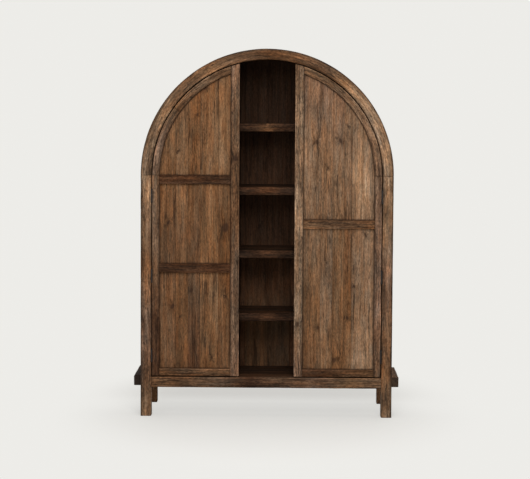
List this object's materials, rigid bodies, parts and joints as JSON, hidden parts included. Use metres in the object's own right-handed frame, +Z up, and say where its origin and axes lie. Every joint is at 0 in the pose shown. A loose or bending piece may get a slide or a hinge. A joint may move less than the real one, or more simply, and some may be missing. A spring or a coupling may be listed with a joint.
{
  "type": "arched cabinet",
  "caption": "Tall arched cabinet of reclaimed timber, with an open middle bay of shelves between two hinged doors.",
  "frame": {"origin": "on the floor, at the middle of the cabinet's width and depth", "axes": "+Z up, +X to the right as seen from the front, the doors face -Y"},
  "size_m": [1.548, 0.46, 2.134],
  "materials": {
    "frame_wood": "matt, worn reclaimed timber",
    "door_frame_wood": "matt, worn reclaimed timber",
    "door_board_wood": "matt, worn reclaimed timber",
    "side_wood": "matt, worn reclaimed timber",
    "inner_wood": "matt, worn reclaimed timber",
    "hinge_iron": "dull dark iron",
    "screw_steel": "dull",
    "catch_metal": "satin"
  },
  "bodies": {
    "carcass": {"arch_loose_tenons": "inner_wood", "back_boards": "inner_wood", "centre_shelf_1": "inner_wood", "centre_shelf_2": "inner_wood", "centre_shelf_3": "inner_wood", "centre_shelf_4": "inner_wood", "door_catches": "catch_metal", "floor_boards": "inner_wood", "floor_cleats": "inner_wood", "front_arch_segment_1": "frame_wood", "front_arch_segment_2": "frame_wood", "front_arch_segment_3": "frame_wood", "front_arch_segment_4": "frame_wood", "front_arch_segment_5": "frame_wood", "front_arch_segment_6": "frame_wood", "front_post_left": "frame_wood", "front_post_right": "frame_wood", "front_rail": "frame_wood", "left_hinge_frame_leaves": "hinge_iron", "left_hinge_frame_screws": "screw_steel", "left_hinge_pins": "hinge_iron", "partition_left": "inner_wood", "partition_right": "inner_wood", "rear_arch_segments": "frame_wood", "rear_post_left": "frame_wood", "rear_post_right": "frame_wood", "rear_rail": "frame_wood", "right_hinge_frame_leaves": "hinge_iron", "right_hinge_frame_screws": "screw_steel", "right_hinge_pins": "hinge_iron", "roof_staves": "side_wood", "shelf_cleats": "inner_wood", "side_boards_left": "side_wood", "side_boards_right": "side_wood", "side_runner_left": "frame_wood", "side_runner_right": "frame_wood", "side_shelves_left": "inner_wood", "side_shelves_right": "inner_wood"},
    "left_door": {"left_door_arch_stile_lower": "door_frame_wood", "left_door_arch_stile_upper": "door_frame_wood", "left_door_boards": "door_board_wood", "left_door_bottom_rail": "door_frame_wood", "left_door_inner_stile": "door_frame_wood", "left_door_mid_rail_1": "door_frame_wood", "left_door_mid_rail_2": "door_frame_wood", "left_door_outer_stile": "door_frame_wood", "left_door_strike": "screw_steel", "left_hinge_door_leaves": "hinge_iron", "left_hinge_door_screws": "screw_steel"},
    "right_door": {"right_door_arch_stile_lower": "door_frame_wood", "right_door_arch_stile_upper": "door_frame_wood", "right_door_boards": "door_board_wood", "right_door_bottom_rail": "door_frame_wood", "right_door_inner_stile": "door_frame_wood", "right_door_mid_rail_1": "door_frame_wood", "right_door_outer_stile": "door_frame_wood", "right_door_strike": "screw_steel", "right_hinge_door_leaves": "hinge_iron", "right_hinge_door_screws": "screw_steel"}
  },
  "joints": [
    {"name": "left_door_hinge", "type": "hinge", "parent": "carcass", "child": "left_door", "pos_m": [-0.6655, -0.226, 0.8215], "axis": [0, 0, -1], "range_deg": [0, 155]},
    {"name": "right_door_hinge", "type": "hinge", "parent": "carcass", "child": "right_door", "pos_m": [0.6655, -0.226, 0.8215], "axis": [0, 0, 1], "range_deg": [0, 155]}
  ]
}
